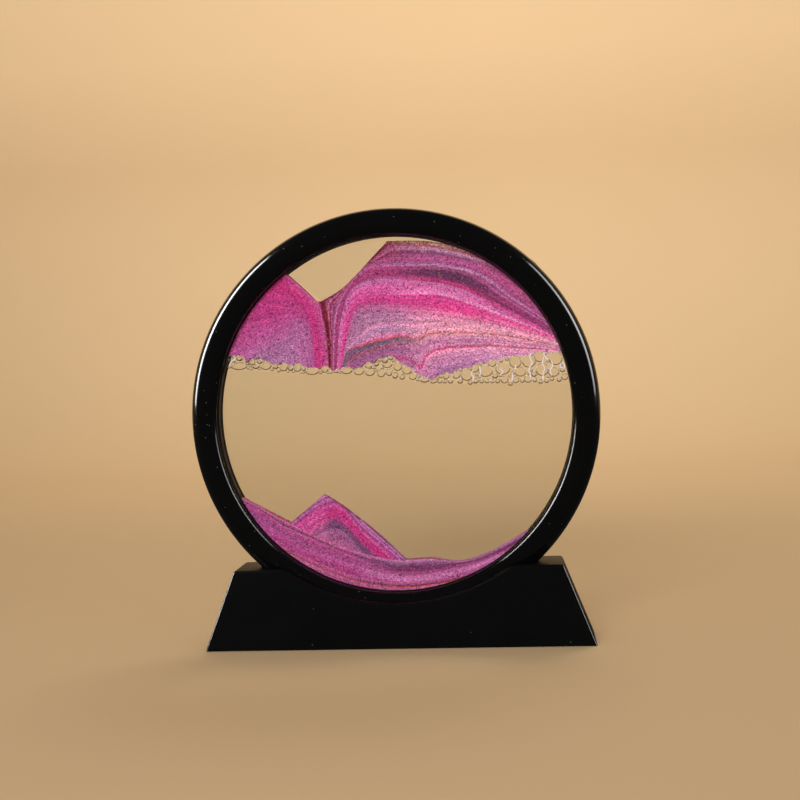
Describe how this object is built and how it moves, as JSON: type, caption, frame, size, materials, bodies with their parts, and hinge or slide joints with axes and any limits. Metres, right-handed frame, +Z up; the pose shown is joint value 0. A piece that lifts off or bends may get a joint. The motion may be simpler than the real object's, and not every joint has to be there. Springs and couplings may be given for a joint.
{
  "type": "moving sand picture",
  "caption": "Round liquid sand picture between two glass discs, in a rounded black frame that stands in the groove of a wedge-shaped base and turns over.",
  "frame": {"origin": "under the middle of the base, on the surface it stands on", "axes": "+Z up, +X to the right along the base seen from the front, +Y from the front to the rear through the picture"},
  "size_m": [0.178, 0.032, 0.1888],
  "materials": {
    "frame_black": "gloss",
    "base_black": "satin",
    "plate_black": "matte",
    "screw_steel": "satin",
    "foot_rubber": "matte",
    "seal_rubber": "matte",
    "glass": "polished",
    "liquid": "gloss",
    "air": "gloss",
    "pink_sand": "matte",
    "violet_sand": "matte"
  },
  "bodies": {
    "base": {"base_shell": "base_black", "base_plate": "plate_black", "base_screw_left": "screw_steel", "base_screw_right": "screw_steel", "foot_front_left": "foot_rubber", "foot_front_right": "foot_rubber", "foot_rear_left": "foot_rubber", "foot_rear_right": "foot_rubber"},
    "contents": {"upper_sand_left": "pink_sand", "upper_sand_right": "pink_sand", "bubble_layer": "air", "upper_liquid": "liquid", "lower_liquid": "liquid", "lower_sand_peak": "violet_sand", "lower_sand_bed": "pink_sand"},
    "picture": {"front_frame": "frame_black", "rear_frame": "frame_black", "fill_plug": "seal_rubber", "front_glass": "glass", "rear_glass": "glass", "cell_wall": "plate_black", "front_seal": "seal_rubber", "rear_seal": "seal_rubber"}
  },
  "joints": [
    {"name": "lift_off", "type": "slide", "parent": "base", "child": "contents", "axis": [0, 0, 1], "range_m": [0, 0.04]},
    {"name": "turn", "type": "hinge", "parent": "contents", "child": "picture", "pos_m": [0, 0, 0.0998], "axis": [0, -1, 0], "continuous": true}
  ]
}
